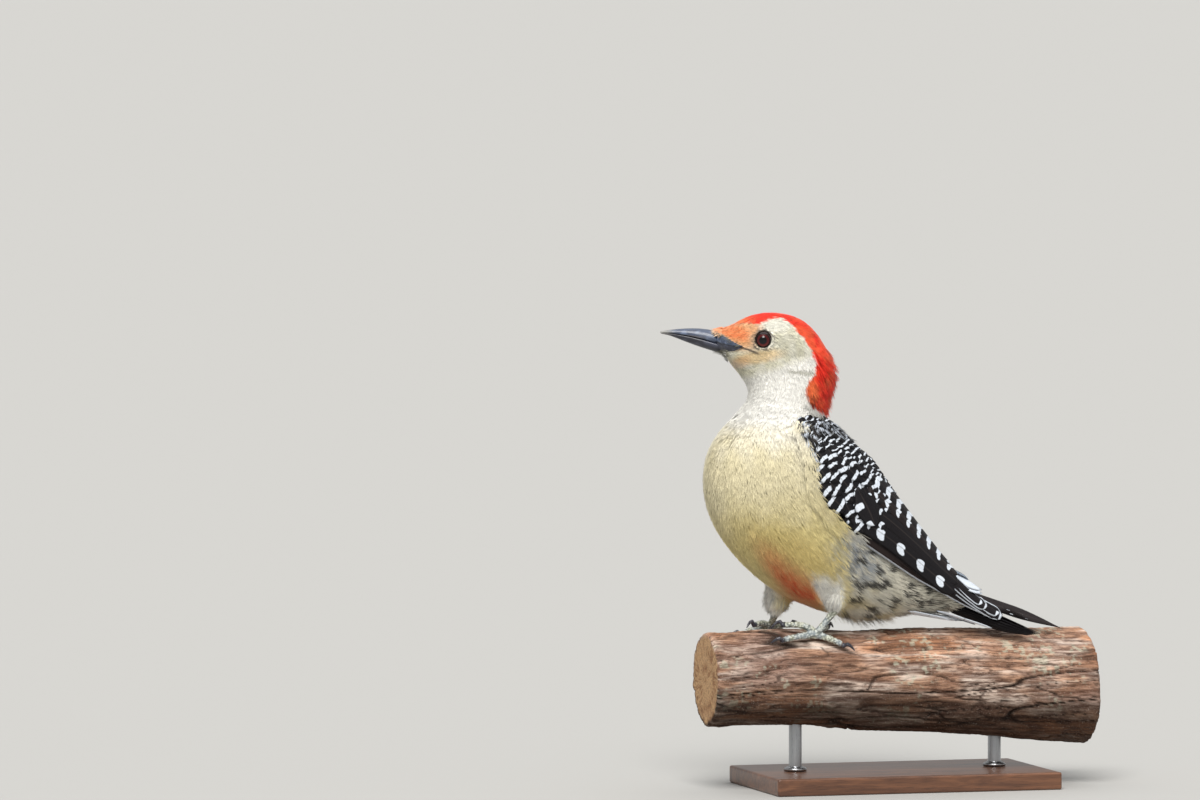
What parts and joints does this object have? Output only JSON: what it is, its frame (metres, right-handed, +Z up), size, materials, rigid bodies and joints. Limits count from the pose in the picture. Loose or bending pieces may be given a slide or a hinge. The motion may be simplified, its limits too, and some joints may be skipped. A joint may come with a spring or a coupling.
{
  "type": "woodpecker display model",
  "caption": "Life-size still model of a male red-bellied woodpecker gripping a cut length of branch, on a flat display stand.",
  "frame": {"origin": "centre of the underside of the stand's base, where it rests on the floor", "axes": "+Z up; +X from the bird's head end to its tail end, along the branch; +Y to the bird's right"},
  "size_m": [0.1997, 0.078, 0.219],
  "materials": {
    "head_feathers": "soft feathers, red crown and nape, grey-buff face",
    "body_feathers": "soft feathers, pale buff",
    "wing_feathers": "smooth vanes, black barred with white",
    "tail_feathers": "stiff vanes, black",
    "scaled_skin": "grey scaled skin",
    "horn": "slate grey horn, satin",
    "claw": "dark horn, satin",
    "eye": "wet gloss, dark red iris",
    "bark": "weathered bare branch",
    "stand_wood": "dark satin wood",
    "stand_metal": "satin steel rod"
  },
  "bodies": {
    "root": {"head": "head_feathers", "neck": "body_feathers", "trunk": "body_feathers", "wing_left": "wing_feathers", "wing_right": "wing_feathers", "flight_feathers_left": "wing_feathers", "flight_feathers_right": "wing_feathers", "tail_left": "tail_feathers", "tail_right": "tail_feathers", "thigh_left": "body_feathers", "thigh_right": "body_feathers", "foot_left": "scaled_skin", "foot_right": "scaled_skin", "bill_upper": "horn", "bill_lower": "horn", "eye_left": "eye", "eye_right": "eye", "perch": "bark", "stand_base": "stand_wood", "stand_rod_front": "stand_metal", "stand_rod_back": "stand_metal", "claw_left_1": "claw", "claw_left_2": "claw", "claw_left_3": "claw", "claw_left_4": "claw", "claw_right_1": "claw", "claw_right_2": "claw", "claw_right_3": "claw", "claw_right_4": "claw"}
  },
  "joints": []
}
